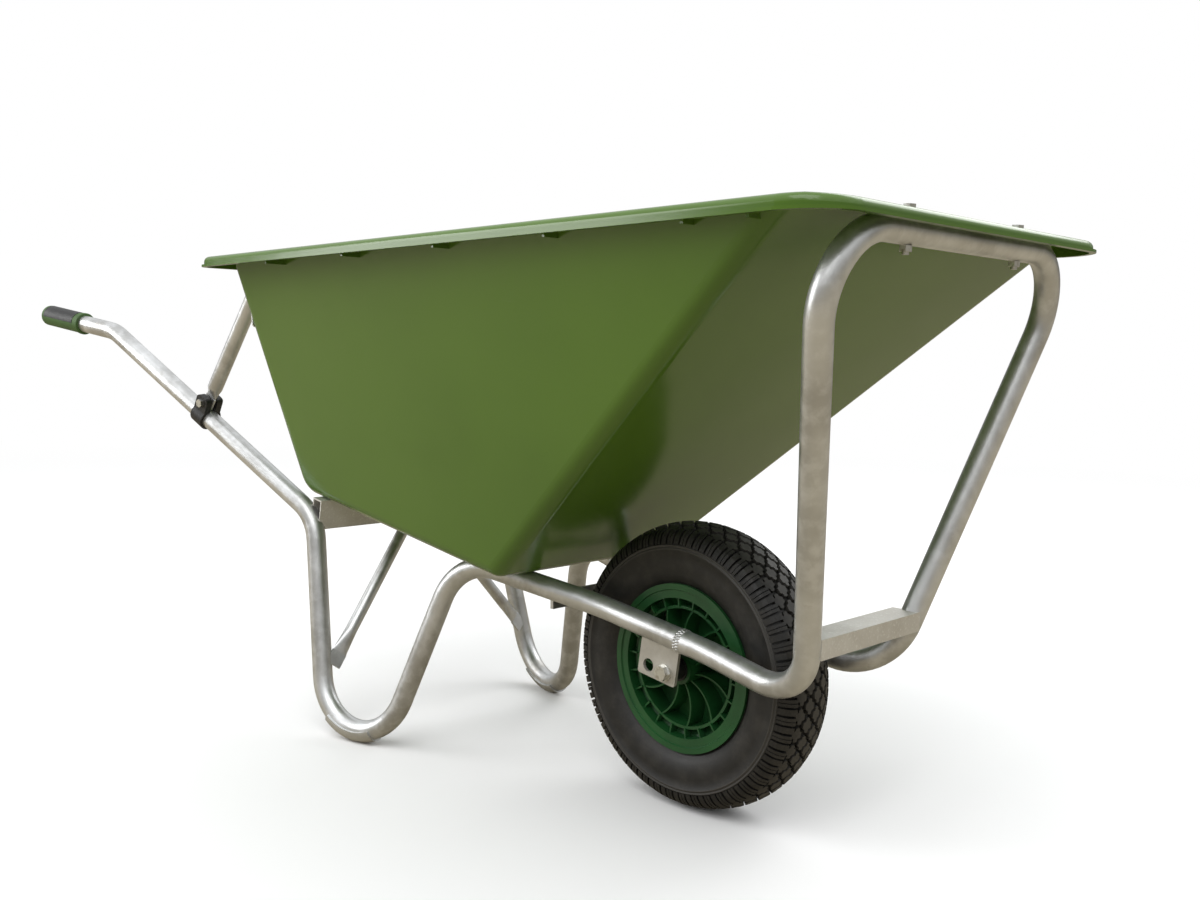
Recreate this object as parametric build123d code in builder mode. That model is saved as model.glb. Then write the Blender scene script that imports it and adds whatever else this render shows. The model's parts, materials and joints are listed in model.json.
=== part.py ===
from build123d import *
import os
from math import hypot, sin, radians, sqrt

os.makedirs("parts", exist_ok=True)

# A large yard wheelbarrow: a moulded tub on a bent-tube frame with one pneumatic wheel.
# +X points forward to the wheel, +Y to the user's left, +Z up. The origin is on the
# ground below the middle of the barrow. Points below are given for the left half.

# ---------------------------------------------------------------- driving dimensions

axle_x = 496.37
axle_z = 200.0

# The frame's round tube, and the corner points of its centre line. The side tube
# runs from the grip to the joint beside the wheel, and the hoop from there on.
tube_radius = 16.0
tube_wall = 2.0
bend_radius = 85.0
kink_radius = 260.0
hoop_top_radius = 82.0
grip_end = Vector(axle_x - 1397, 356, 682)
handle_bend = Vector(axle_x - 1196, 312, 652)
knee = Vector(axle_x - 677, 198, 347)
foot_apex = Vector(axle_x - 546.5, 247, -222)
rail_bend = Vector(axle_x - 374, 131, 313)
rail_kink = Vector(axle_x - 120, 75, 272)
rail_joint = Vector(axle_x + 34, 75, 250)
hoop_stub = 45.0
hoop_foot = Vector(axle_x + 243, 91, 216)
hoop_top_x = axle_x + 375
hoop_top_y = 285.0

# The tub. Its floor lies on the rails, its rim is nearly level.
tub_wall = 4.5
nose_x = axle_x - 230
heel_x = axle_x - 725
front_wall_lean = 1.207
rear_wall_lean = 0.182
side_point = Vector(axle_x - 230, 182, 310)
side_normal = Vector(-0.0154, 1, -0.2486)
nose_radius = 30.0
heel_radius = 42.0
wall_corner_radius = 24.0
form_top_z = 900.0
rim_front = Vector(axle_x + 412, 0, 773)
rim_rear = Vector(axle_x - 830, 0, 759)
rim_width = 660.0
rim_front_corner = 65.0
rim_rear_corner = 28.0
rim_height = 17.0
rim_roll = 9.0
rim_fall = 4.0
lip_flange = 4.0
lip_flange_height = 3.5
gusset_count = 5
gusset_pitch = 211.0
gusset_middle = axle_x - 195
gusset_last = axle_x + 312
gusset_thickness = 4.0
gusset_drop = 3.5

# The wheel, a 4.00-8 size on a moulded centre.
wheel_radius = 200.0
tyre_half_width = 50.0
flange_radius = 117.6
flange_half_width = 43.0
flange_step_radius = 109.5
flange_step = 2.0
bead_radius = 101.6
bead_half_width = 38.0
well_radius = 86.0
well_wall = 4.0
well_half_width = 19.0
rib_face = 33.0
rim_rib_count = 22
spoke_count = 11
rib_thickness = 2.4
hub_radius = 22.0
hub_half_length = 43.0
web_half_thickness = 2.5

# The axle and the two plates that hold it.
plate_inner = 67.0
plate_thickness = 5.0
plate_length = 68.0
plate_depth = 69.5
plate_shift = -6.0
plate_hole_radius = 9.25
plate_hole_pitch = 30.0
sleeve_radius = 10.0
sleeve_bore = 6.15
sleeve_spigot = 9.1
running_gap = 0.05

# Hexagon fasteners: thread radius, width across flats, head height, nut height.
m12 = (6.0, 19.0, 7.5, 10.0)
m8 = (4.0, 13.0, 5.3, 6.5)
m8_hole = 4.5

touch = 0.05

# Cuts for holes run this far, past everything that they go through.
hole_cut = 80.0


# ---------------------------------------------------------------- shared operations


def finish(piece, name):
    """Label a finished piece and write it to its own file."""
    piece.part.label = name
    export_step(piece.part, f"parts/{name}.step")


def finish_pair(piece, name):
    """Write a left-hand piece, then its mirror image for the right-hand side."""
    finish(piece, f"{name}_left")
    with BuildPart() as twin:
        mirror(piece.part, about=Plane.XZ)
    finish(twin, f"{name}_right")


def bent_rod(points, radii, outer, inner=0):
    """A round tube, or a rod if it has no inner radius, along straight runs and bends."""
    with BuildPart() as rod:
        with BuildLine() as path:
            FilletPolyline(*points, radius=radii)
        with BuildSketch(Plane(origin=path.line @ 0, z_dir=path.line % 0)):
            Circle(outer)
            if inner:
                Circle(inner, mode=Mode.SUBTRACT)
        sweep(path=path.line)
    return rod.part


def flat_ended_rod(start, end, width_dir, radius, wall, flat_width, flat_length, taper):
    """A round tube from start to end, pressed flat at both ends to take a weld or a bolt."""
    flat_thickness = 2.4 * wall
    along = (end - start).normalized()
    length = (end - start).length
    foot = Plane(origin=start, x_dir=width_dir - along * width_dir.dot(along), z_dir=along)
    with BuildPart() as rod:
        for base, toward in ((foot, 1), (foot.offset(length), -1)):
            with BuildSketch(base):
                Rectangle(flat_width, flat_thickness)
            extrude(amount=toward * flat_length)
            with BuildSketch(base.offset(toward * flat_length)):
                Ellipse(flat_width / 2, flat_thickness / 2)
            with BuildSketch(base.offset(toward * (flat_length + taper))):
                Circle(radius)
            loft()
        with BuildSketch(foot.offset(flat_length + taper)):
            Circle(radius)
            Circle(radius - wall, mode=Mode.SUBTRACT)
        extrude(amount=length - 2 * (flat_length + taper))
    return rod.part


def hexagon(plane, size, height):
    """Add a hexagonal head or nut standing on a plane."""
    with BuildSketch(plane) as outline:
        RegularPolygon(radius=size[1] / 2, side_count=6, major_radius=False)
    extrude(outline.sketch, amount=height)


def disc(plane, radius, height, mode=Mode.ADD):
    """Add or cut a round disc standing on a plane."""
    with BuildSketch(plane) as outline:
        Circle(radius)
    extrude(outline.sketch, amount=height, mode=mode)


def bolts(planes, size, length):
    """Hexagon bolts: each head stands on its plane and its shank runs below it."""
    with BuildPart() as group:
        for plane in planes:
            hexagon(plane, size, size[2])
            disc(plane, size[0], -length)
    return group


def nuts(planes, size):
    """Hexagon nuts below their planes, each clear of its bolt's thread by a hair."""
    with BuildPart() as group:
        for plane in planes:
            hexagon(plane, size, -size[3])
            disc(plane, size[0] + touch, -size[3], mode=Mode.SUBTRACT)
    return group


def washers(planes, size, radius, thickness):
    """Flat washers standing on their planes."""
    with BuildPart() as group:
        for plane in planes:
            disc(plane, radius, thickness)
            disc(plane, size[0] + touch, thickness, mode=Mode.SUBTRACT)
    return group


# ---------------------------------------------------------------- side tubes

# The two legs meet, if drawn on, far below ground. The bend between them has the
# radius that stands the foot's wear shoe on the ground.
shoe_thickness = 3.0
leg_front = (rail_bend - foot_apex).normalized()
leg_rear = (knee - foot_apex).normalized()
foot_axis_dir = leg_front.cross(leg_rear).normalized()
foot_rise_dir = (leg_front + leg_rear).normalized()
half_angle = radians(leg_front.get_angle(leg_rear) / 2)
foot_lean = sqrt(1 - foot_axis_dir.Z**2)
foot_height = tube_radius + shoe_thickness
foot_radius = (foot_height - foot_apex.Z) / (foot_rise_dir.Z / sin(half_angle) - foot_lean)
foot_centre = foot_apex + foot_rise_dir * (foot_radius / sin(half_angle))

side_route = [grip_end, handle_bend, knee, foot_apex, rail_bend, rail_kink, rail_joint]
side_radii = [bend_radius, bend_radius, foot_radius, bend_radius, kink_radius]

with BuildPart() as side_tube:
    add(bent_rod(side_route, side_radii, tube_radius, tube_radius - tube_wall))
finish_pair(side_tube, "side_tube")

side_core = bent_rod(side_route, side_radii, tube_radius)
side_core_right = mirror(side_core, about=Plane.XZ)

# ---------------------------------------------------------------- front hoop

# The rim's plane. The hoop's top run lies just under the rim and is bolted to it.
rim_dir = (rim_front - rim_rear).normalized()
rim_up = Vector(-rim_dir.Z, 0, rim_dir.X)
rim_plane = Plane(origin=(rim_front + rim_rear) * 0.5, x_dir=rim_dir, z_dir=rim_up)
rim_length = (rim_front - rim_rear).length

# The rim falls away in front of a crease, where it lies on the hoop and is bolted to it.
rim_crease = rim_front + rim_up * rim_height - rim_dir * (rim_front.X - hoop_top_x + 3)
lip_plane = Plane(origin=rim_crease, x_dir=rim_dir, z_dir=rim_up).rotated((0, rim_fall, 0))
lip_up = lip_plane.z_dir
hoop_depth = tub_wall + tube_radius + touch
below_crease = rim_crease - lip_up * hoop_depth
hoop_top_z = below_crease.Z - (hoop_top_x - below_crease.X) * lip_up.X / lip_up.Z
hoop_top = Vector(hoop_top_x, hoop_top_y, hoop_top_z)
rim_bolt_y = 127.0
rim_bolt_planes = [
    Plane(origin=Vector(hoop_top.X, y, hoop_top.Z) + lip_up * hoop_depth, z_dir=lip_up)
    for y in (-rim_bolt_y, rim_bolt_y)
]

rail_dir = (rail_joint - rail_kink).normalized()
hoop_start = rail_joint + rail_dir * hoop_stub
half_hoop = [rail_joint, hoop_start, hoop_foot, hoop_top]
hoop_route = half_hoop + [Vector(p.X, -p.Y, p.Z) for p in reversed(half_hoop)]
hoop_radii = [kink_radius, bend_radius, hoop_top_radius]
hoop_radii = hoop_radii + hoop_radii[::-1]

with BuildPart() as front_hoop:
    add(bent_rod(hoop_route, hoop_radii, tube_radius, tube_radius - tube_wall))
    for plane in rim_bolt_planes:
        disc(plane, m8_hole, -hole_cut, mode=Mode.SUBTRACT)
finish(front_hoop, "front_hoop")

hoop_core = bent_rod(hoop_route, hoop_radii, tube_radius)

# A short inner tube carries the joint between each rail and the hoop.
spigot_wall = 2.5
spigot_half = 32.0
with BuildPart() as rail_spigot:
    with BuildSketch(Plane(origin=rail_joint, z_dir=rail_dir)):
        Circle(tube_radius - tube_wall - touch)
        Circle(tube_radius - tube_wall - touch - spigot_wall, mode=Mode.SUBTRACT)
    extrude(amount=spigot_half, both=True)
finish_pair(rail_spigot, "rail_spigot")

# ---------------------------------------------------------------- cross members

# The stop bar across the foot of the hoop, a closed box section coped to the tubes.
# Its front face is flush with them.
bar_width = 40.0
bar_height = 25.0
bar_wall = 2.0
bar_z = 292.0
bar_setback = 6.0
leg_run = (hoop_top - hoop_foot) * ((bar_z - hoop_foot.Z) / (hoop_top.Z - hoop_foot.Z))
bar_end = hoop_foot.Y + leg_run.Y - bar_setback
bar_x = hoop_foot.X + leg_run.X + tube_radius - bar_width / 2
bar_plane = Plane(origin=(bar_x, 0, bar_z), x_dir=(1, 0, 0), z_dir=(0, 1, 0))
with BuildPart() as front_crossbar:
    with BuildSketch(bar_plane):
        Rectangle(bar_width, bar_height)
    extrude(amount=bar_end, both=True)
    with BuildSketch(bar_plane):
        Rectangle(bar_width - 2 * bar_wall, bar_height - 2 * bar_wall)
    extrude(amount=bar_end - bar_wall, both=True, mode=Mode.SUBTRACT)
    add(hoop_core, mode=Mode.SUBTRACT)
finish(front_crossbar, "front_crossbar")

# The rails' slope sets the tub's floor, which rests on them and on the rear beam.
rail_slope = (rail_bend.Z - rail_kink.Z) / (rail_kink.X - rail_bend.X)
rail_secant = hypot(1, rail_slope)


def floor_z(x):
    """Height of the tub's floor face above a point along the barrow."""
    return rail_kink.Z + rail_slope * (rail_kink.X - x) + tube_radius * rail_secant + touch


floor_dir = Vector(1, 0, -rail_slope).normalized()
floor_up = Vector(rail_slope, 0, 1).normalized()

beam_height = 50.0
beam_depth = 25.0
beam_wall = 2.5
beam_x = knee.X + 7
beam_top = Vector(beam_x, 0, floor_z(beam_x) - touch)
with BuildPart() as rear_crossmember:
    beam_centre = beam_top - floor_up * (beam_height / 2)
    with BuildSketch(Plane(origin=beam_centre, x_dir=floor_dir, z_dir=(0, 1, 0))):
        Rectangle(beam_depth, beam_height)
        Rectangle(beam_depth - 2 * beam_wall, beam_height - 2 * beam_wall, mode=Mode.SUBTRACT)
    extrude(amount=knee.Y, both=True)
    add(side_core, mode=Mode.SUBTRACT)
    add(side_core_right, mode=Mode.SUBTRACT)
finish(rear_crossmember, "rear_crossmember")

# A flat bar set on edge ties the rails together just behind the wheel.
tie_height = 25.0
tie_thickness = 6.0
tie_x = axle_x - 206
tie_z = 267.5
with BuildPart() as front_tie:
    with BuildSketch(Plane(origin=(tie_x, 0, tie_z), x_dir=(1, 0, 0), z_dir=(0, 1, 0))):
        Rectangle(tie_thickness, tie_height)
    extrude(amount=rail_bend.Y - 40, both=True)
    add(side_core, mode=Mode.SUBTRACT)
    add(side_core_right, mode=Mode.SUBTRACT)
finish(front_tie, "front_tie")

# Two braces run from the rear legs up to the middle of the rear beam.
brace_radius = 10.0
brace_low = Vector(axle_x - 609, 207, 108)
brace_high = Vector(beam_x + beam_depth / 2 + 7, 5, 360)
brace_face = Vector(1, 0.35, 0)
with BuildPart() as leg_brace:
    add(
        flat_ended_rod(
            brace_low, brace_high, brace_face.cross(brace_high - brace_low), brace_radius, 1.6, 26, 24, 40
        )
    )
    add(side_core, mode=Mode.SUBTRACT)
    add(rear_crossmember.part, mode=Mode.SUBTRACT)
    split(bisect_by=Plane.XZ.offset(-touch), keep=Keep.BOTTOM)
finish_pair(leg_brace, "leg_brace")

# A half sleeve is welded under each foot as a wear shoe.
shoe_angle = 58.0
shoe_rear_angle = 36.0
foot_down = (Vector(0, 0, -1) + foot_axis_dir * foot_axis_dir.Z).normalized()
shoe_start = foot_down.rotate(Axis((0, 0, 0), foot_axis_dir), -shoe_rear_angle)
foot_axis = Axis(foot_centre, foot_axis_dir)
with BuildPart() as foot_shoe:
    with BuildSketch(Plane(origin=foot_centre, x_dir=shoe_start, z_dir=shoe_start.cross(foot_axis_dir))):
        with Locations((foot_radius, 0)):
            Circle(tube_radius + shoe_thickness)
            Circle(tube_radius + touch, mode=Mode.SUBTRACT)
        with Locations((foot_radius - tube_radius, 0)):
            Rectangle(2.2 * tube_radius, 4 * tube_radius, mode=Mode.SUBTRACT)
    revolve(axis=foot_axis, revolution_arc=shoe_angle)
finish_pair(foot_shoe, "foot_shoe")

# ---------------------------------------------------------------- tub

nose = (nose_x, floor_z(nose_x))
heel = (heel_x, floor_z(heel_x))
front_top = (nose_x + front_wall_lean * (form_top_z - nose[1]), form_top_z)
rear_top = (heel_x - rear_wall_lean * (form_top_z - heel[1]), form_top_z)
side_plane = Plane(origin=side_point, z_dir=side_normal)


def tub_form(inset):
    """The tub as a solid block, with every face moved in by the inset."""
    with BuildPart() as form:
        with BuildSketch(Plane.XZ) as profile:
            with BuildLine():
                Polyline(nose, heel, rear_top, front_top, close=True)
            make_face()
            if inset:
                offset(amount=-inset, kind=Kind.INTERSECTION)
            fillet(profile.vertices().sort_by(Axis.Y)[0], radius=nose_radius - inset)
            fillet(profile.vertices().sort_by(Axis.X)[1], radius=heel_radius - inset)
        extrude(amount=rim_width, both=True)
        wall_plane = side_plane.offset(-inset)
        split(bisect_by=wall_plane, keep=Keep.BOTTOM)
        far_plane = Plane(
            origin=(wall_plane.origin.X, -wall_plane.origin.Y, wall_plane.origin.Z),
            z_dir=(side_normal.X, -side_normal.Y, side_normal.Z),
        )
        split(bisect_by=far_plane, keep=Keep.BOTTOM)
        walls = form.faces().filter_by(lambda face: abs(face.normal_at().Y) > 0.9)
        corners = walls.edges().filter_by(lambda edge: edge.center().Z < form_top_z - 60)
        fillet(corners, radius=wall_corner_radius - inset)
    return form.part


tub_outside = tub_form(0)
tub_inside = tub_form(tub_wall)

strut_bolt_y = 230.0
strut_bolt_z = 684.0
rear_out = Vector(-1, 0, -rear_wall_lean).normalized()
strut_bolt_x = heel_x - rear_wall_lean * (strut_bolt_z - heel[1])
strut_bolt_planes = [
    Plane(origin=Vector(strut_bolt_x, y, strut_bolt_z) - rear_out * tub_wall, z_dir=-rear_out)
    for y in (-strut_bolt_y, strut_bolt_y)
]


def rim_outline(inset):
    """The rim seen from above, with wide corners in front and tight ones behind."""
    with BuildSketch(rim_plane) as outline:
        Rectangle(rim_length - 2 * inset, rim_width - 2 * inset)
        fillet(outline.vertices().sort_by(Axis.X)[-2:], radius=rim_front_corner - inset)
        fillet(outline.vertices().sort_by(Axis.X)[:2], radius=rim_rear_corner - inset)
    return outline.sketch


def rim_block(inset, height):
    """The rim as a solid block up to a height, cut off along its falling front."""
    with BuildPart() as block:
        extrude(rim_outline(inset), amount=height)
        split(bisect_by=lip_plane.offset(height - rim_height), keep=Keep.BOTTOM)
    return block.part


pocket = lip_flange + tub_wall
with BuildPart() as tray:
    add(rim_block(lip_flange, rim_height))
    top_faces = tray.faces().filter_by(lambda face: face.normal_at().Z > 0.9)
    top_edges = top_faces.edges().filter_by(lambda edge: abs(edge.center().X - rim_crease.X) > 5)
    fillet(top_edges, radius=rim_roll)
    extrude(rim_outline(0), amount=lip_flange_height)
    add(rim_block(pocket, rim_height - tub_wall), mode=Mode.SUBTRACT)
    with BuildSketch(rim_plane.offset(-gusset_drop)):
        with Locations((gusset_middle - rim_plane.origin.X, 0)):
            with GridLocations(gusset_pitch, rim_width - 60, gusset_count, 2):
                Rectangle(gusset_thickness, 60 - 2 * pocket)
        with Locations((gusset_last - rim_plane.origin.X, 0)):
            with GridLocations(0, rim_width - 60, 1, 2):
                Rectangle(gusset_thickness, 60 - 2 * pocket)
    extrude(amount=rim_height - tub_wall)
    add(split(tub_outside, bisect_by=rim_plane.offset(rim_height - 1), keep=Keep.BOTTOM, mode=Mode.PRIVATE))
    add(tub_inside, mode=Mode.SUBTRACT)
    for plane in strut_bolt_planes + rim_bolt_planes:
        disc(plane.offset(tub_wall), m8_hole, -hole_cut, mode=Mode.SUBTRACT)
finish(tray, "tray")

# ---------------------------------------------------------------- wheel

wheel_origin = Vector(axle_x, 0, axle_z)
axle_axis = Axis(wheel_origin, (0, 1, 0))
section_plane = Plane(origin=wheel_origin, x_dir=(0, 1, 0), z_dir=(1, 0, 0))
wheel_plane = Plane(origin=wheel_origin, x_dir=(1, 0, 0), z_dir=(0, -1, 0))
spoke_angle = -84.5
spoke_bow = 10.5
spoke_bow_radius = 52.0
bush_radius = 12.5
bush_length = 26.0
bush_flange_radius = 17.0
bush_flange = 2.0

# The valve lies in the gap between two spokes on the right-hand side of the web.
valve_angle = 129.0
valve_side = 11.0
valve_radius = 4.0
valve_reach = 64.0
valve_dir = Vector(1, 0, 0).rotate(Axis.Y, -valve_angle)
valve_plane = Plane(origin=wheel_origin - Vector(0, valve_side, 0), z_dir=valve_dir)

with BuildPart() as wheel_centre:
    with BuildSketch(section_plane):
        with BuildLine():
            Polyline(
                (0, well_radius),
                (14, well_radius),
                (20, bead_radius),
                (bead_half_width, bead_radius),
                (bead_half_width, flange_radius),
                (flange_half_width, flange_radius),
                (flange_half_width, flange_step_radius),
                (flange_half_width - flange_step, flange_step_radius - flange_step / 2),
                (flange_half_width - flange_step, bead_radius - well_wall),
                (well_half_width + 5, bead_radius - well_wall),
                (well_half_width, well_radius),
                (rib_face, well_radius),
                (rib_face, well_radius - well_wall),
                (0, well_radius - well_wall),
            )
            mirror(about=Plane.YZ)
        make_face()
    revolve(axis=axle_axis)
    disc(wheel_plane.offset(-web_half_thickness), well_radius - 1, 2 * web_half_thickness)
    disc(wheel_plane.offset(-hub_half_length), hub_radius, 2 * hub_half_length)
    for turn in range(spoke_count):
        angle = spoke_angle + turn * 360 / spoke_count
        with BuildSketch(wheel_plane):
            with BuildLine():
                bow = [
                    Vector(radius, 0).rotate(Axis.Z, angle + lead)
                    for radius, lead in (
                        (hub_radius - 2, 0),
                        (spoke_bow_radius, spoke_bow),
                        (well_radius - 2, 0),
                    )
                ]
                ThreePointArc(*bow)
                offset(amount=rib_thickness / 2, side=Side.BOTH)
            make_face()
        extrude(amount=rib_face - 1, both=True)
    rib_length = bead_radius - well_radius - well_wall + 2
    for side in (-1, 1):
        with BuildSketch(wheel_plane.offset(side * well_half_width)) as ribs:
            with PolarLocations(well_radius + rib_length / 2 - 1, rim_rib_count, start_angle=spoke_angle):
                Rectangle(rib_length, rib_thickness)
        extrude(ribs.sketch, amount=side * (rib_face + 3 - well_half_width))
    disc(wheel_plane.offset(-hole_cut), bush_radius, 2 * hole_cut, mode=Mode.SUBTRACT)
    disc(valve_plane, valve_radius + touch, well_radius + 6, mode=Mode.SUBTRACT)
finish(wheel_centre, "wheel_centre")

# The tyre's carcass, with bead, bulging wall, shoulder and rounded tread.
tyre_wall = 6.0
shoulder = (41.0, 187.0)
wall_bulge = (tyre_half_width, 152.0)
bead_toe = 27.0
bead_edge = bead_half_width - touch
bead_seat = bead_radius + touch
with BuildPart() as tyre:
    with BuildSketch(section_plane):
        with BuildLine():
            ThreePointArc((0, wheel_radius), (22, 197), shoulder)
            ThreePointArc(shoulder, wall_bulge, (bead_edge, flange_radius + 3))
            Line((bead_edge, flange_radius + 3), (bead_edge, bead_seat))
            Line((bead_edge, bead_seat), (bead_toe, bead_seat))
            Line((bead_toe, bead_seat), (bead_toe + 4, flange_radius))
            ThreePointArc(
                (bead_toe + 4, flange_radius),
                (tyre_half_width - tyre_wall, 152),
                (shoulder[0] - tyre_wall - 1, shoulder[1] - tyre_wall),
            )
            ThreePointArc(
                (shoulder[0] - tyre_wall - 1, shoulder[1] - tyre_wall), (18, 188.5), (0, 191)
            )
            mirror(about=Plane.YZ)
        make_face()
    revolve(axis=axle_axis)
finish(tyre, "tyre")

# The air tube inside, and its valve through the well of the wheel centre.
tube_ring = 146.0
tube_half_width = 40.0
tube_half_height = 41.0
tube_skin = 2.0
with BuildPart() as inner_tube:
    with BuildSketch(section_plane):
        with Locations((0, tube_ring)):
            Ellipse(tube_half_width, tube_half_height)
            Ellipse(tube_half_width - tube_skin, tube_half_height - tube_skin, mode=Mode.SUBTRACT)
    revolve(axis=axle_axis)
    disc(valve_plane.offset(tube_ring - tube_half_height), valve_radius + 1, 4)
finish(inner_tube, "inner_tube")

valve_top = tube_ring - tube_half_height
cap_length = 11.0
with BuildPart() as valve_stem:
    disc(valve_plane.offset(valve_reach), valve_radius, valve_top - valve_reach)
    disc(valve_plane.offset(bead_radius - 6), valve_radius + 1.2, 3)
finish(valve_stem, "valve_stem")

with BuildPart() as valve_cap:
    disc(valve_plane.offset(valve_reach - 3), valve_radius + 1.2, cap_length)
    fillet(valve_cap.edges().group_by(Axis(wheel_origin, valve_dir))[0], radius=1)
    disc(valve_plane.offset(valve_reach), valve_radius, cap_length, mode=Mode.SUBTRACT)
finish(valve_cap, "valve_cap")

# ---------------------------------------------------------------- axle

with BuildPart() as hub_bush:
    with BuildSketch(section_plane):
        with Locations((hub_half_length - bush_length / 2, (sleeve_radius + bush_radius) / 2)):
            Rectangle(bush_length, bush_radius - sleeve_radius - running_gap)
        with Locations((hub_half_length + bush_flange / 2, (sleeve_radius + bush_flange_radius) / 2)):
            Rectangle(bush_flange, bush_flange_radius - sleeve_radius - running_gap)
    revolve(axis=axle_axis)
    disc(wheel_plane, sleeve_radius + running_gap, -hole_cut, mode=Mode.SUBTRACT)
finish_pair(hub_bush, "hub_bush")

# The sleeve's turned-down ends sit in the plates' holes, just short of the outer faces.
sleeve_reach = plate_inner + plate_thickness - 0.5
with BuildPart() as axle_sleeve:
    disc(wheel_plane.offset(-plate_inner), sleeve_radius, 2 * plate_inner)
    disc(wheel_plane.offset(-sleeve_reach), sleeve_spigot, 2 * sleeve_reach)
    disc(wheel_plane.offset(-hole_cut), sleeve_bore, 2 * hole_cut, mode=Mode.SUBTRACT)
finish(axle_sleeve, "axle_sleeve")

# Spacer rings keep the wheel in the middle of the fork.
spacer_gap = 0.5
spacer_radius = 14.0
spacer_start = hub_half_length + bush_flange + spacer_gap
with BuildPart() as axle_spacer:
    disc(wheel_plane.offset(-plate_inner), spacer_radius, plate_inner - spacer_start)
    disc(wheel_plane.offset(-hole_cut), sleeve_radius, 2 * hole_cut, mode=Mode.SUBTRACT)
finish_pair(axle_spacer, "axle_spacer")

# The plates hang below the rails, each with a second hole to move the wheel back.
rail_above_axle = rail_joint + rail_dir * ((axle_x - rail_joint.X) / rail_dir.X)
plate_origin = Vector(rail_above_axle.X, plate_inner, rail_above_axle.Z)
plate_plane = Plane(origin=plate_origin, x_dir=rail_dir, z_dir=(0, -1, 0))
axle_on_plate = plate_plane.to_local_coords(Vector(axle_x, plate_inner, axle_z))
with BuildPart() as axle_bracket:
    with BuildSketch(plate_plane):
        with Locations((plate_shift, -plate_depth / 2)):
            Rectangle(plate_length, plate_depth)
        for hole in range(2):
            with Locations((axle_on_plate.X - hole * plate_hole_pitch, axle_on_plate.Y)):
                Circle(plate_hole_radius, mode=Mode.SUBTRACT)
    extrude(amount=-plate_thickness)
    low_corners = axle_bracket.edges().filter_by(Axis.Y).filter_by(
        lambda edge: edge.length < plate_thickness + 1 and edge.geom_type == GeomType.LINE
    )
    fillet(low_corners.sort_by(Axis.Z)[:2], radius=4)
    add(side_core, mode=Mode.SUBTRACT)
    add(hoop_core, mode=Mode.SUBTRACT)
finish_pair(axle_bracket, "axle_bracket")

axle_washer_radius = 12.0
axle_washer = 2.5
plate_outer = plate_inner + plate_thickness
bolt_seat = wheel_plane.offset(plate_outer + axle_washer)
nut_seat = wheel_plane.offset(-plate_outer - axle_washer)
finish(bolts([bolt_seat], m12, 2 * (plate_outer + axle_washer) + m12[3] + 4), "axle_bolt")
finish(nuts([nut_seat], m12), "axle_nut")
washer_planes = [wheel_plane.offset(plate_outer), wheel_plane.offset(-plate_outer - axle_washer)]
finish(washers(washer_planes, m12, axle_washer_radius, axle_washer), "axle_washers")

# ---------------------------------------------------------------- rim bolts

m8_washer_radius = 9.0
m8_washer = 1.6
rim_seat_planes = [plane.offset(m8_washer) for plane in rim_bolt_planes]
rim_nut_planes = [plane.offset(-hoop_depth - tube_radius - touch) for plane in rim_bolt_planes]
rim_bolt_length = 48.0
finish(bolts(rim_seat_planes, m8, rim_bolt_length), "rim_bolts")
finish(nuts(rim_nut_planes, m8), "rim_nuts")
finish(washers(rim_bolt_planes, m8, m8_washer_radius, m8_washer), "rim_washers")

# ---------------------------------------------------------------- tub struts

# A strut runs from a clamp on each handle to the back wall of the tub.
handle_dir = (handle_bend - knee).normalized()
handle_side = (Vector(0, 1, 0) - handle_dir * handle_dir.Y).normalized()
handle_up = handle_side.cross(handle_dir)
clamp_at = 0.518
clamp_centre = knee + (handle_bend - knee) * clamp_at
clamp_width = 30.0
clamp_outer = 21.0
clamp_ear = 17.0
clamp_ear_height = 40.0
clamp_bolt_rise = 28.0
clamp_slot = 11.0
clamp_plane = Plane(origin=clamp_centre, x_dir=handle_side, z_dir=handle_side.cross(handle_up))
clamp_bolt_centre = clamp_centre + handle_up * clamp_bolt_rise
clamp_bolt_plane = Plane(origin=clamp_bolt_centre, x_dir=handle_dir, z_dir=handle_side)

with BuildPart() as handle_clamp:
    with BuildSketch(clamp_plane):
        Circle(clamp_outer)
        with Locations((0, clamp_ear_height / 2)):
            Rectangle(2 * clamp_ear, clamp_ear_height)
        Circle(tube_radius + touch, mode=Mode.SUBTRACT)
        with Locations((0, tube_radius + clamp_ear_height / 2)):
            Rectangle(clamp_slot, clamp_ear_height + tube_radius, mode=Mode.SUBTRACT)
    extrude(amount=clamp_width / 2, both=True)
    top_edges = handle_clamp.edges().filter_by(Axis(clamp_centre, handle_side))
    fillet(top_edges.sort_by(Axis(clamp_centre, handle_up))[-4:], radius=8)
    disc(clamp_bolt_plane.offset(-hole_cut / 2), m8_hole, hole_cut, mode=Mode.SUBTRACT)
finish_pair(handle_clamp, "handle_clamp")

clamp_grip = 2 * clamp_ear
finish_pair(bolts([clamp_bolt_plane.offset(clamp_ear)], m8, clamp_grip + m8[3] + 3), "clamp_bolt")
finish_pair(nuts([clamp_bolt_plane.offset(-clamp_ear)], m8), "clamp_nut")

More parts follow.
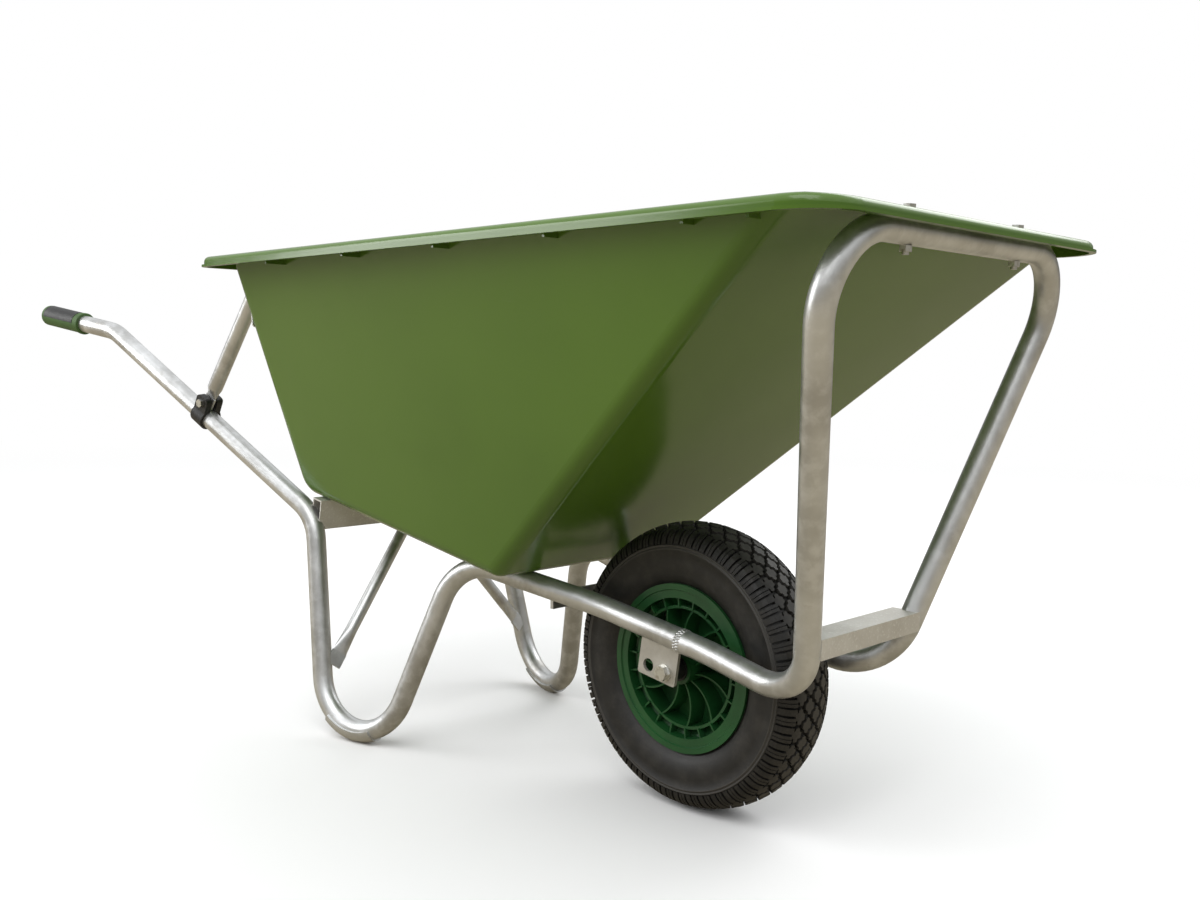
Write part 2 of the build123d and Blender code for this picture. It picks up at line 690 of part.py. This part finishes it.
# Each strut is pressed flat at its foot and welded to a bolted pad at its head.
strut_radius = 13.0
strut_tab = 9.0
pad_thickness = 3.0
pad_width = 36.0
pad_out = 8.0
pad_length = 84.0
pad_rise = 20.0
pad_corner = 6.0
pad_hole_depth = 20.0
strut_head_rise = 38.0
strut_head_out = 15.0
wall_up = Vector(-rear_wall_lean, 0, 1).normalized()
pad_bolt = strut_bolt_planes[1].origin + rear_out * (tub_wall + touch)
pad_plane = Plane(origin=pad_bolt, x_dir=(0, 1, 0), z_dir=rear_out)
strut_head = pad_bolt + wall_up * strut_head_rise + Vector(0, strut_head_out, 0)
strut_dir = (strut_head - clamp_bolt_centre).normalized()
with BuildPart() as tub_strut:
    add(
        flat_ended_rod(
            clamp_bolt_centre - strut_dir * strut_tab,
            strut_head + strut_dir * 60,
            handle_dir,
            strut_radius,
            1.6,
            24,
            2.4 * strut_tab,
            20,
        )
    )
    split(bisect_by=pad_plane.offset(pad_thickness), keep=Keep.TOP)
    with BuildSketch(pad_plane):
        with Locations((pad_out, -pad_rise)):
            RectangleRounded(pad_width, pad_length, pad_corner)
    extrude(amount=pad_thickness)
    disc(pad_plane, m8_hole, pad_hole_depth, mode=Mode.SUBTRACT)
    disc(clamp_bolt_plane.offset(-hole_cut / 2), m8_hole, hole_cut, mode=Mode.SUBTRACT)
finish_pair(tub_strut, "tub_strut")

strut_seat_planes = [plane.offset(m8_washer) for plane in strut_bolt_planes]
strut_nut_planes = [plane.offset(-tub_wall - pad_thickness - 3 * touch) for plane in strut_bolt_planes]
strut_bolt_length = 24.0
finish(bolts(strut_seat_planes, m8, strut_bolt_length), "strut_bolts")
finish(nuts(strut_nut_planes, m8), "strut_nuts")
finish(washers(strut_bolt_planes, m8, m8_washer_radius, m8_washer), "strut_washers")

# ---------------------------------------------------------------- grips

# A soft sleeve with a collar in front, and a harder inlay let into its upper half.
grip_radius = 19.5
grip_length = 118.0
grip_cap = 4.0
collar_radius = 20.8
collar_length = 6.0
inlay_depth = 1.8
inlay_start = 10.0
inlay_length = 92.0
grip_dir = (handle_bend - grip_end).normalized()
grip_side = (Vector(0, 1, 0) - grip_dir * grip_dir.Y).normalized()
grip_up = grip_dir.cross(grip_side)
grip_plane = Plane(origin=grip_end - grip_dir * grip_cap, x_dir=grip_up, z_dir=grip_dir)


def upper_shell(outer, inner, start, length):
    """The upper half of a ring around the handle."""
    with BuildPart() as shell:
        with BuildSketch(grip_plane.offset(start)):
            Circle(outer)
            Circle(inner, mode=Mode.SUBTRACT)
            with Locations((-outer, 0)):
                Rectangle(2 * outer, 2 * outer, mode=Mode.SUBTRACT)
        extrude(amount=length)
    return shell.part


with BuildPart() as grip:
    disc(grip_plane, grip_radius, grip_length)
    fillet(grip.edges().sort_by(Axis(grip_end, grip_dir))[0], radius=5)
    disc(grip_plane.offset(grip_length - collar_length), collar_radius, collar_length)
    fillet(grip.edges().sort_by(Axis(grip_end, grip_dir))[-1], radius=1)
    disc(grip_plane.offset(grip_cap), tube_radius + touch, grip_length, mode=Mode.SUBTRACT)
    add(
        upper_shell(grip_radius + 2, grip_radius - inlay_depth, inlay_start, inlay_length),
        mode=Mode.SUBTRACT,
    )
finish_pair(grip, "grip")

with BuildPart() as grip_inlay:
    add(
        upper_shell(
            grip_radius + 0.6,
            grip_radius - inlay_depth + touch,
            inlay_start + touch,
            inlay_length - 2 * touch,
        )
    )
finish_pair(grip_inlay, "grip_inlay")
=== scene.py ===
import json
from math import atan, cos, pi, radians, sin, tau

import bmesh
import bpy
from mathutils import Matrix, Vector


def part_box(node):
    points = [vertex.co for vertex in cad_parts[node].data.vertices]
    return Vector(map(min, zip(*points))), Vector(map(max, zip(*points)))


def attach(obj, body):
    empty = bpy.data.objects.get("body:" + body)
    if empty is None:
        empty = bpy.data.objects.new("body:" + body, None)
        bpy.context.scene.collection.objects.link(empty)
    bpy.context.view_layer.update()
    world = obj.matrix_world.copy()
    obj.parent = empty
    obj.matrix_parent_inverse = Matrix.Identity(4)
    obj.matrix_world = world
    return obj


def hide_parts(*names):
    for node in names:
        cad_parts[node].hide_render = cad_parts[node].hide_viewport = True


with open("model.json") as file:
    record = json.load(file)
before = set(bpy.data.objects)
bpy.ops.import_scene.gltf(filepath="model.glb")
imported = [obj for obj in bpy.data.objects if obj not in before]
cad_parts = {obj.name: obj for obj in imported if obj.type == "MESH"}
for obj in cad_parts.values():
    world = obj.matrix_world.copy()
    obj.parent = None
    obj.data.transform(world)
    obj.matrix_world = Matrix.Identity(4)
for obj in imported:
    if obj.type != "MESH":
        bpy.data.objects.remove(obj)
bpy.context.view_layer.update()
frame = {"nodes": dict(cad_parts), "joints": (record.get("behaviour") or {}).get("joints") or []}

# ---------------------------------------------------------------- frame tubes
# The frame is bent from round steel tube: one long tube a side, from the grip down round the
# leg and along the rail, and a hoop in front that carries the wheel and the tub's rim. It is
# hot-dip galvanised, which leaves it pale, satin and faintly clouded.


class Wire:
    """A socket in a material's node tree. Arithmetic on it adds Math nodes."""

    def __init__(self, tree, socket=None):
        self.tree = tree
        self.socket = socket

    def node(self, kind, inputs, output=0, **settings):
        """Add a node, set it up, then fill its sockets with values or other wires."""
        made = self.tree.nodes.new("ShaderNode" + kind)
        for name, value in settings.items():
            setattr(made, name, value)
        for name, value in inputs.items():
            if isinstance(value, Wire):
                self.tree.links.new(value.socket, made.inputs[name])
            else:
                made.inputs[name].default_value = value
        return Wire(self.tree, made.outputs[output])

    def math(self, operation, first, second):
        return self.node("Math", {0: first, 1: second}, operation=operation)

    def __add__(self, other):
        return self.math("ADD", self, other)

    def __sub__(self, other):
        return self.math("SUBTRACT", self, other)

    def __mul__(self, other):
        return self.math("MULTIPLY", self, other)

    def __rsub__(self, other):
        return self.math("SUBTRACT", other, self)

    __radd__ = __add__
    __rmul__ = __mul__

    def noise(self, scale, detail=3.0, roughness=0.55):
        """Cloudy noise at this point of the surface."""
        look = {"Vector": self, "Scale": scale, "Detail": detail, "Roughness": roughness}
        return self.node("TexNoise", look)

    def band(self, low, high):
        """0 below low, 1 above high, and smooth between them."""
        return self.node(
            "MapRange", {"Value": self, "From Min": low, "From Max": high}, interpolation_type="SMOOTHSTEP"
        )

    def blend(self, first, second):
        """From the first colour to the second as this value goes from 0 to 1."""
        return self.node("Mix", {0: self, 6: first, 7: second}, output=2, data_type="RGBA")

    def bump(self, strength, distance):
        """A normal that this height pushes in and out."""
        return self.node("Bump", {"Height": self, "Strength": strength, "Distance": distance})


def start_finish(name):
    """A new material, and the point on the piece that its patterns start from."""
    material = bpy.data.materials.new(name)
    material.use_nodes = True
    place = Wire(material.node_tree).node("TexCoord", {}, output=3)
    return material, place


def set_finish(material, **sockets):
    """Fill the shader's sockets, whose names are written here with underscores."""
    shader = material.node_tree.nodes["Principled BSDF"]
    for name, value in sockets.items():
        socket = shader.inputs[name.replace("_", " ")]
        if isinstance(value, Wire):
            material.node_tree.links.new(value.socket, socket)
        else:
            socket.default_value = value


def coat(material, *nodes):
    """Give CAD nodes a finish."""
    for node in nodes:
        mesh = frame["nodes"][node].data
        mesh.materials.clear()
        mesh.materials.append(material)


galvanised, place = start_finish("galvanised_tube")
clouds = place.noise(7.0, 4.0)
mottle = place.noise(46.0, 3.0, 0.6)
grain = place.noise(420.0, 2.0)
stains = place.noise(13.0, 5.0, 0.7).band(0.56, 0.72)
zinc = clouds.band(0.35, 0.68).blend((0.70, 0.71, 0.71, 1), (0.50, 0.50, 0.49, 1))
zinc = (mottle.band(0.4, 0.7) * 0.6).blend(zinc, (0.80, 0.81, 0.82, 1))
zinc = (stains * 0.4).blend(zinc, (0.40, 0.37, 0.32, 1))
set_finish(
    galvanised,
    Base_Color=zinc,
    Metallic=0.88,
    Roughness=0.28 + mottle * 0.22 + stains * 0.1,
    Normal=(mottle * 0.6 + grain * 0.25 + clouds).bump(0.4, 0.0014),
)
sides = ("left", "right")
for side in sides:
    coat(galvanised, f"side_tube_{side}", f"rail_spigot_{side}", f"foot_shoe_{side}", f"leg_brace_{side}")
    coat(galvanised, f"tub_strut_{side}")
coat(galvanised, "front_hoop", "front_tie")

# ---------------------------------------------------------------- cross members
# The stop bar in front and the deep beam under the tub's heel are box sections, cut to the
# tubes and welded to them. Their flat faces hold more zinc, so they are paler and spangled.

spangled, place = start_finish("galvanised_box_section")
fleck = place.noise(230.0, 2.0)
clouds = place.noise(9.0, 4.0)
flat_zinc = clouds.band(0.3, 0.7).blend((0.80, 0.79, 0.75, 1), (0.64, 0.62, 0.57, 1))
flat_zinc = (fleck.band(0.52, 0.7) * 0.5).blend(flat_zinc, (0.9, 0.9, 0.87, 1))
set_finish(
    spangled,
    Base_Color=flat_zinc,
    Metallic=0.75,
    Roughness=0.42 + fleck * 0.2,
    Normal=(fleck + clouds * 0.8).bump(0.3, 0.0012),
)
coat(spangled, "front_crossbar", "rear_crossmember")

# ---------------------------------------------------------------- axle plates
# Two thick plates hang below the rails and hold the axle. Each has a second hole behind the
# axle's, to move the wheel back. They are sheared from plate and dipped with the frame.

plate_zinc, place = start_finish("galvanised_plate")
clouds = place.noise(24.0, 4.0)
fleck = place.noise(300.0, 2.0)
set_finish(
    plate_zinc,
    Base_Color=clouds.band(0.3, 0.7).blend((0.62, 0.60, 0.55, 1), (0.48, 0.46, 0.41, 1)),
    Metallic=0.6,
    Roughness=0.5 + fleck * 0.15,
    Normal=(fleck * 0.5 + clouds).bump(0.25, 0.001),
)
coat(plate_zinc, "axle_bracket_left", "axle_bracket_right")

# ---------------------------------------------------------------- welds
# The frame is welded by hand. The rail joints, the axle plates and the front bar have a low
# rippled bead of overlapping drops, which the zinc has filled and smoothed over.


def weld(mesh, points, size):
    """Lay drops of weld, flattened a little, at points along a seam."""
    for point in points:
        drop = bmesh.ops.create_icosphere(mesh, subdivisions=2, radius=size)
        bmesh.ops.scale(mesh, vec=(1.0, 1.0, 0.8), verts=drop["verts"])
        bmesh.ops.translate(mesh, vec=point, verts=drop["verts"])


def along(start, end, pitch):
    """Evenly spaced points from start to end."""
    start, end = Vector(start), Vector(end)
    count = max(2, round((end - start).length / pitch))
    return [start.lerp(end, k / count) for k in range(count + 1)]


def around(centre, axis, radius, pitch, first):
    """Evenly spaced points round a ring, from a first angle."""
    axis = Vector(axis).normalized()
    out = axis.orthogonal().normalized()
    count = round(radius * tau / pitch)
    angles = [first + tau * k / count for k in range(count)]
    return [Vector(centre) + Matrix.Rotation(angle, 3, axis) @ out * radius for angle in angles]


def make_piece(name, mesh, material, body, smooth=True):
    """Turn a bmesh into a finished piece that rides on a body."""
    data = bpy.data.meshes.new(name)
    mesh.to_mesh(data)
    mesh.free()
    for face in data.polygons:
        face.use_smooth = smooth
    data.materials.append(material)
    piece = bpy.data.objects.new(name, data)
    bpy.context.scene.collection.objects.link(piece)
    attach(piece, body)
    return piece


def middle(node):
    """The centre of a CAD node's box."""
    low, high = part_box(node)
    return (low + high) / 2


tube_radius = 0.016
rail_fall = radians(8.13)
rail_dir = Vector((cos(rail_fall), 0, -sin(rail_fall)))
ring_rows = ((-0.0022, 0.0), (0.0022, 0.11))
ring_pitch, ring_drop, ring_sink = 0.0042, 0.0036, 0.0016
plate_seams = ((0.006, 0.03), (0.036, 0.062))
plate_pitch, plate_drop, plate_sink = 0.0036, 0.0031, 0.0006
bar_inset = Vector((0.004, 0.001, 0.002))
bar_pitch, bar_drop = 0.0034, 0.0024
seams = bmesh.new()
for side in (-1, 1):
    name = sides[side < 0]
    joint = middle(f"rail_spigot_{name}")
    for shift, first in ring_rows:
        ring = around(joint + rail_dir * shift, rail_dir, tube_radius - ring_sink, ring_pitch, first)
        weld(seams, ring, ring_drop)
    low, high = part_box(f"axle_bracket_{name}")
    plate_y = side * max(abs(low.y), abs(high.y))
    for start, end in plate_seams:
        seam = []
        for x in (low.x + start, low.x + end):
            rail_z = joint.z + (joint.x - x) * rail_fall
            seam.append((x, plate_y, rail_z - tube_radius + plate_sink))
        weld(seams, along(*seam, plate_pitch), plate_drop)
    low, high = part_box("front_crossbar")
    bar_y = side * (high.y - bar_inset.y)
    for z in (low.z + bar_inset.z, high.z - bar_inset.z):
        seam = ((low.x + bar_inset.x, bar_y, z), (high.x - bar_inset.x, bar_y, z))
        weld(seams, along(*seam, bar_pitch), bar_drop)
make_piece("frame_welds", seams, galvanised, "frame")

# ---------------------------------------------------------------- tub
# The tub is moulded in one piece from tough green polyethylene, deep in front, with a rolled
# rim and small ribs below it. It is glossy, with the faint waviness of a large moulding.

tub_green, place = start_finish("moulded_tub")
drift = place.noise(2.2, 3.0)
skin = place.noise(900.0, 2.0)
drawn_out = place.node("Mapping", {"Vector": place, "Scale": (1.0, 1.0, 9.0)})
scuffs = drawn_out.noise(24.0, 5.0, 0.7).band(0.60, 0.78)
tub_shade = drift.band(0.3, 0.7).blend((0.096, 0.192, 0.022, 1), (0.082, 0.166, 0.019, 1))
tub_shade = (scuffs * 0.12).blend(tub_shade, (0.13, 0.21, 0.06, 1))
set_finish(
    tub_green,
    Base_Color=tub_shade,
    Roughness=0.13 + drift * 0.08 + scuffs * 0.12,
    Normal=(drift + skin * 0.004).bump(0.3, 0.012),
)
coat(tub_green, "tray")

# ---------------------------------------------------------------- wheel centre
# The wheel's centre is moulded in dark green plastic: a rim with a double lip, a well with
# pockets between short ribs, and eleven curved spokes that swirl out of the hub.

wheel_green, place = start_finish("wheel_centre_plastic")
clouds = place.noise(16.0, 3.0)
grain = place.noise(350.0, 2.0)
set_finish(
    wheel_green,
    Base_Color=clouds.band(0.3, 0.7).blend((0.014, 0.096, 0.024, 1), (0.010, 0.070, 0.018, 1)),
    Roughness=0.3 + grain * 0.18,
    Normal=(grain * 0.1 + clouds).bump(0.15, 0.002),
)
coat(wheel_green, "wheel_centre")

# ---------------------------------------------------------------- axle and bushes
# The wheel turns on a steel sleeve in two black bearing bushes, held between spacer rings.
# The valve of the air tube comes out through the well with its black cap on.

black_plastic, place = start_finish("black_plastic")
grain = place.noise(260.0, 3.0)
wear = place.noise(30.0, 4.0).band(0.5, 0.75)
set_finish(
    black_plastic,
    Base_Color=wear.blend((0.012, 0.012, 0.012, 1), (0.026, 0.026, 0.025, 1)),
    Roughness=0.38 + grain * 0.2,
    Normal=grain.bump(0.2, 0.0006),
)
for side in sides:
    coat(black_plastic, f"hub_bush_{side}", f"axle_spacer_{side}", f"handle_clamp_{side}")
coat(black_plastic, "valve_cap", "valve_stem", "inner_tube")

# ---------------------------------------------------------------- bolts and nuts
# All fasteners are hexagon bolts and nuts in bright zinc plate, a little stained in the
# corners from the rain.

bright_zinc, place = start_finish("zinc_plated_fasteners")
stain = place.noise(140.0, 3.0)
set_finish(
    bright_zinc,
    Base_Color=stain.band(0.45, 0.75).blend((0.72, 0.72, 0.69, 1), (0.42, 0.39, 0.33, 1)),
    Metallic=0.95,
    Roughness=0.24 + stain * 0.2,
    Normal=stain.bump(0.15, 0.0005),
)
fasteners = [n for n in frame["nodes"] if n.split("_")[-1] in ("bolt", "bolts", "nut", "nuts", "washers")]
fasteners += ["axle_sleeve", "clamp_bolt_left", "clamp_bolt_right", "clamp_nut_left", "clamp_nut_right"]
coat(bright_zinc, *fasteners)

# ---------------------------------------------------------------- tyre
# A black 4.00-8 tyre: a smooth carcass with a thin double ring round the sidewall, five
# staggered rows of lobed blocks over the crown, and narrow lugs that run down each shoulder.

axle = Vector(frame["joints"][0]["pos_m"])
rubber, place = start_finish("tyre_rubber")
dust = place.noise(38.0, 5.0, 0.7)
grain = place.noise(500.0, 2.0)
from_axle = place.node("Mapping", {"Vector": place, "Location": (-axle.x, 0, -axle.z), "Scale": (1, 0, 1)})
reach = place.node("VectorMath", {0: from_axle}, output=1, operation="LENGTH")
rubbed = reach.band(0.1645, 0.1665) * (1 - reach.band(0.1715, 0.1735)) + reach.band(0.190, 0.1985)
black = dust.band(0.4, 0.75).blend((0.010, 0.0096, 0.009, 1), (0.030, 0.0275, 0.024, 1))
set_finish(
    rubber,
    Base_Color=(rubbed * 0.75).blend(black, (0.058, 0.055, 0.050, 1)),
    Roughness=0.40 + dust * 0.25,
    Normal=(grain * 0.4 + dust).bump(0.22, 0.0008),
)
tread_radius = axle.z
pitches = 48
pitch_angle = tau / pitches
axle_dir = Vector((0, 1, 0))


def section(mesh, points):
    """A closed face across the tyre, above the axle, from (sideways, radius) pairs in mm."""
    corners = [mesh.verts.new(axle + Vector((0, side, radius)) / 1000) for side, radius in points]
    return mesh.faces.new(corners)


def repeat_round(mesh, count):
    """Copy everything so far round the wheel."""
    everything = mesh.verts[:] + mesh.edges[:] + mesh.faces[:]
    bmesh.ops.spin(
        mesh, geom=everything, cent=axle, axis=axle_dir, angle=tau * (count - 1) / count,
        steps=count - 1, use_duplicate=True,
    )


half_wall = [(0, 193), (14, 192.4), (26, 190.2), (34, 186.5), (40, 182), (44, 176.5), (46.6, 172.6)]
half_wall += [(48.6, 172), (49.2, 170.8), (48.2, 169.6), (48.2, 168.2), (49.6, 167.4), (49.9, 166)]
half_wall += [(48.6, 164.6)]
half_wall += [(49.4, 152), (48.9, 142), (46.5, 131), (42.5, 123.5), (38.6, 119.5), (37.9, 117.5), (37.9, 102)]
half_wall += [(27, 102), (31, 118), (42, 140), (43.5, 152), (40, 168), (32, 179), (16, 185), (0, 186)]
carcass = bmesh.new()
wall = half_wall + [(-side, radius) for side, radius in half_wall[-2:0:-1]]
face = section(carcass, wall)
outline = face.edges[:]
bmesh.ops.delete(carcass, geom=[face], context="FACES_ONLY")
bmesh.ops.spin(
    carcass, geom=outline, cent=axle, axis=axle_dir, angle=tau, steps=144, use_merge=True
)
bmesh.ops.remove_doubles(carcass, verts=carcass.verts, dist=1e-6)
bmesh.ops.recalc_face_normals(carcass, faces=carcass.faces)
tyre = make_piece("tyre_carcass", carcass, rubber, "wheel")
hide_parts("tyre")


crown_fall, crown_roll = 0.0062, 0.9e-6


def crown(side):
    """The tread's radius at a distance from its middle, in mm, and its slope there."""
    height = 1000 * tread_radius - crown_fall * side**2 - crown_roll * side**4
    return height, -2 * crown_fall * side - 4 * crown_roll * side**3


rows = [(0, 0.0), (-14.2, 0.5), (14.2, 0.5), (-27.6, 0.0), (27.6, 0.0)]
arm_x, arm_y = 0.0112, 0.0031
lobe_x, lobe_y = 0.0052, 0.0073
corner_cut = 0.0016
block_height = 0.0085
block_taper = 0.93
half_cross = [(arm_x, -arm_y), (arm_x, arm_y), (lobe_x, arm_y), (lobe_x, lobe_y)]
half_cross += [(-lobe_x, lobe_y), (-lobe_x, arm_y)]
cross = half_cross + [(-x, -y) for x, y in half_cross]
tread = bmesh.new()
for side, turn in rows:
    block = bmesh.new()
    verts = [block.verts.new((x, y, 0)) for x, y in cross]
    block.faces.new(verts)
    bmesh.ops.bevel(
        block, geom=verts, offset=corner_cut, offset_type="OFFSET", segments=1, profile=0.5,
        affect="VERTICES", material=-1,
    )
    lift = bmesh.ops.extrude_face_region(block, geom=block.faces[:])
    top = [v for v in lift["geom"] if isinstance(v, bmesh.types.BMVert)]
    bmesh.ops.translate(block, vec=(0, 0, block_height), verts=top)
    bmesh.ops.scale(block, vec=(block_taper, block_taper, 1), verts=top)
    bmesh.ops.translate(block, vec=(0, 0, -block_height), verts=block.verts)
    radius, slope = crown(side)
    lean = Matrix.Rotation(atan(slope), 4, "X")
    stand = Matrix.Translation(axle) @ Matrix.Rotation(turn * pitch_angle, 4, "Y")
    stand = stand @ Matrix.Translation((0, side / 1000, radius / 1000)) @ lean
    bmesh.ops.transform(block, matrix=stand, verts=block.verts)
    bmesh.ops.recalc_face_normals(block, faces=block.faces)
    scratch = bpy.data.meshes.new("block")
    block.to_mesh(scratch)
    block.free()
    tread.from_mesh(scratch)
    bpy.data.meshes.remove(scratch)
repeat_round(tread, pitches)
make_piece("tread_blocks", tread, rubber, "wheel", smooth=False)

lug_wall = [(33.0, 193.4), (37.5, 191.0), (42.2, 187.6), (45.8, 182.6), (48.0, 177.4), (49.0, 173.0)]
lug_root = [(45.5, 172.4), (42.0, 176.5), (38.0, 181.0), (33.0, 185.0)]
lug_pattern = ((0.08, 0.18), (0.30, 0.18), (0.60, 0.34))
lugs = bmesh.new()
for start, width in lug_pattern:
    for mirror_side in (-1, 1):
        face = section(lugs, [(mirror_side * side, radius) for side, radius in lug_wall + lug_root])
        swept = bmesh.ops.spin(
            lugs, geom=[face] + face.edges[:] + face.verts[:], cent=axle, axis=axle_dir,
            angle=width * pitch_angle, steps=1,
        )
        ended = [g for g in swept["geom_last"] if isinstance(g, bmesh.types.BMVert)]
        turned = list(face.verts) + ended
        bmesh.ops.rotate(lugs, cent=axle, matrix=Matrix.Rotation(start * pitch_angle, 3, "Y"), verts=turned)
repeat_round(lugs, pitches)
bmesh.ops.recalc_face_normals(lugs, faces=lugs.faces)
make_piece("shoulder_lugs", lugs, rubber, "wheel", smooth=False)

# ---------------------------------------------------------------- grips
# Each handle has a soft green sleeve with a collar in front, and a harder black inlay let
# into its upper half, where the palm rests.

grip_green, place = start_finish("grip_sleeve")
grain = place.noise(320.0, 3.0)
grime = place.noise(45.0, 4.0).band(0.45, 0.75)
set_finish(
    grip_green,
    Base_Color=grime.blend((0.060, 0.135, 0.030, 1), (0.038, 0.080, 0.022, 1)),
    Roughness=0.5 + grain * 0.2,
    Normal=grain.bump(0.2, 0.0005),
)
coat(grip_green, "grip_left", "grip_right")
coat(black_plastic, "grip_inlay_left", "grip_inlay_right")

# ---------------------------------------------------------------- stage, light and camera
# The barrow stands on a plain pale floor under soft studio light.

floor_radius = 40
floor_mesh = bmesh.new()
bmesh.ops.create_circle(floor_mesh, cap_ends=True, segments=96, radius=floor_radius)
floor_data = bpy.data.meshes.new("floor")
floor_mesh.to_mesh(floor_data)
floor_mesh.free()
floor = bpy.data.objects.new("floor", floor_data)
bpy.context.scene.collection.objects.link(floor)
pale, place = start_finish("pale_floor")
seen = place.node("LightPath", {}, output=0)
set_finish(pale, Base_Color=seen.blend((0.35, 0.30, 0.21, 1), (0.95, 0.95, 0.945, 1)), Roughness=0.85)
far = place.node("VectorMath", {0: place}, output=1, operation="LENGTH").band(1.6, 6.0) * seen
glow = place.node("Emission", {"Color": (1, 1, 1, 1), "Strength": 1.0})
shader = Wire(pale.node_tree, pale.node_tree.nodes["Principled BSDF"].outputs[0])
mixed = place.node("MixShader", {0: far, 1: shader, 2: glow})
pale.node_tree.links.new(mixed.socket, pale.node_tree.nodes["Material Output"].inputs["Surface"])
floor_data.materials.append(pale)

world = bpy.data.worlds.new("studio")
world.use_nodes = True
bpy.context.scene.world = world
sky = Wire(world.node_tree)
height = sky.node("SeparateXYZ", {0: sky.node("TexCoord", {}, output=0)}, output=2)
room = height.band(0.02, 0.62).blend((0.16, 0.16, 0.155, 1), (0.98, 0.99, 1.0, 1))
seen = sky.node("LightPath", {}, output=0)
shown = seen.blend(room, (1, 1, 1, 1))
world.node_tree.links.new(shown.socket, world.node_tree.nodes["Background"].inputs["Color"])
world.node_tree.nodes["Background"].inputs["Strength"].default_value = 1.0

lamps = (
    ("key", (1.6, -2.6, 4.4), 3.6, 90),
    ("fill", (-3.0, -3.0, 1.8), 2.0, 60),
    ("rim", (0.5, 3.4, 3.4), 2.6, 55),
)
for name, spot, size, power in lamps:
    light = bpy.data.lights.new(name, "AREA")
    light.size = size
    light.energy = power
    lamp = bpy.data.objects.new(name, light)
    lamp.location = spot
    lamp.rotation_euler = (Vector((0, 0, 0.45)) - lamp.location).to_track_quat("-Z", "Y").to_euler()
    bpy.context.scene.collection.objects.link(lamp)

camera_data = bpy.data.cameras.new("camera")
camera_data.sensor_width = 36.0
camera_data.lens = 34.94
camera = bpy.data.objects.new("camera", camera_data)
heading, pitch, roll = radians(134.7), radians(-4.97), radians(1.12)
turn = Matrix.Rotation(heading - pi / 2, 4, "Z") @ Matrix.Rotation(pi / 2 + pitch, 4, "X")
eye = Vector((axle.x + 1.0263, -1.2418, 0.6372))
camera.matrix_world = Matrix.Translation(eye) @ turn @ Matrix.Rotation(roll, 4, "Z")
bpy.context.scene.collection.objects.link(camera)
bpy.context.scene.camera = camera
bpy.context.scene.view_settings.view_transform = "Standard"
